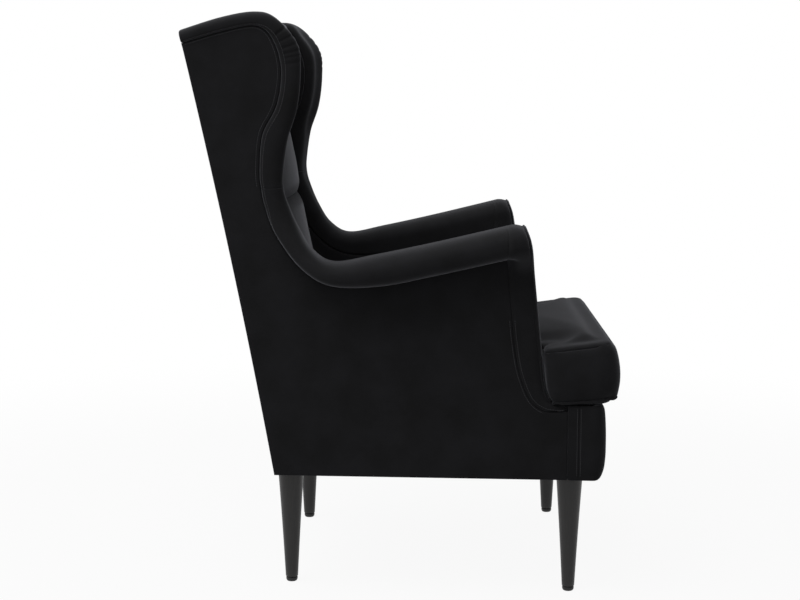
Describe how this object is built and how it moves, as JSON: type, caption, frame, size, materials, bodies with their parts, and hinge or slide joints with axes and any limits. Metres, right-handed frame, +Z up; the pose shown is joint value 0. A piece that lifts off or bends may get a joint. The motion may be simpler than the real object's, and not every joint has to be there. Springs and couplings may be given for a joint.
{
  "type": "armchair",
  "caption": "Winged armchair in black velvet with rolled arms, loose T cushion, sprung timber frame and tapered round legs.",
  "frame": {"origin": "on the floor, in the middle of the chair's bounding box in plan", "axes": "+Z up, the chair faces -Y, +X is to the sitter's left; X = 0 is the middle plane"},
  "size_m": [0.7682, 0.7681, 1.03],
  "materials": {
    "velvet": "black velvet with a short dense pile, grey sheen on the folds",
    "lining": "black woven lining cloth",
    "black_stained_wood": "turned hardwood, black stain, satin lacquer",
    "frame_beech": "planed beech, unfinished",
    "plywood": "birch plywood",
    "elastic_webbing": "woven elastic webbing",
    "foam": "cut polyurethane foam",
    "spring_steel": "drawn spring wire",
    "bright_steel": "plated steel",
    "glide_plastic": "black moulded nylon"
  },
  "bodies": {
    "chair": {"arm_front_pad_left": "velvet", "arm_front_pad_right": "velvet", "arm_inner_pad_left": "velvet", "arm_inner_pad_right": "velvet", "arm_rail_left": "frame_beech", "arm_rail_right": "frame_beech", "arm_roll_left": "velvet", "arm_roll_right": "velvet", "back_pad": "velvet", "back_webbing_1": "elastic_webbing", "back_webbing_2": "elastic_webbing", "back_webbing_3": "elastic_webbing", "corner_block_front_left": "frame_beech", "corner_block_front_right": "frame_beech", "corner_block_rear_left": "frame_beech", "corner_block_rear_right": "frame_beech", "dust_cover": "lining", "front_border": "velvet", "front_post_left": "frame_beech", "front_post_right": "frame_beech", "front_rail": "frame_beech", "leg_bolt_front_left": "bright_steel", "leg_bolt_front_right": "bright_steel", "leg_bolt_rear_left": "bright_steel", "leg_bolt_rear_right": "bright_steel", "leg_front_left": "black_stained_wood", "leg_front_right": "black_stained_wood", "leg_glide_front_left": "glide_plastic", "leg_glide_front_right": "glide_plastic", "leg_glide_rear_left": "glide_plastic", "leg_glide_rear_right": "glide_plastic", "leg_rear_left": "black_stained_wood", "leg_rear_right": "black_stained_wood", "lumbar_rail": "frame_beech", "outer_back": "velvet", "outer_side_left": "velvet", "outer_side_right": "velvet", "rear_post_left": "frame_beech", "rear_post_right": "frame_beech", "rear_rail": "frame_beech", "seat_deck": "velvet", "seat_spring_1": "spring_steel", "seat_spring_2": "spring_steel", "seat_spring_3": "spring_steel", "seat_spring_4": "spring_steel", "side_rail_left": "frame_beech", "side_rail_right": "frame_beech", "top_border": "velvet", "top_rail": "frame_beech", "wing_board_left": "plywood", "wing_board_right": "plywood", "wing_border_left": "velvet", "wing_border_right": "velvet", "wing_inner_pad_left": "velvet", "wing_inner_pad_right": "velvet"},
    "seat_cushion": {"cushion_cover": "velvet", "cushion_core": "foam", "cushion_zip": "lining"},
    "zip_pull": {"zip_slider": "bright_steel"}
  },
  "joints": [
    {"name": "cushion_lift", "type": "slide", "parent": "chair", "child": "seat_cushion", "axis": [0, 0, 1], "range_m": [0, 0.35]},
    {"name": "zip_slide", "type": "slide", "parent": "seat_cushion", "child": "zip_pull", "axis": [1, 0, 0], "range_m": [0, 0.342]}
  ]
}
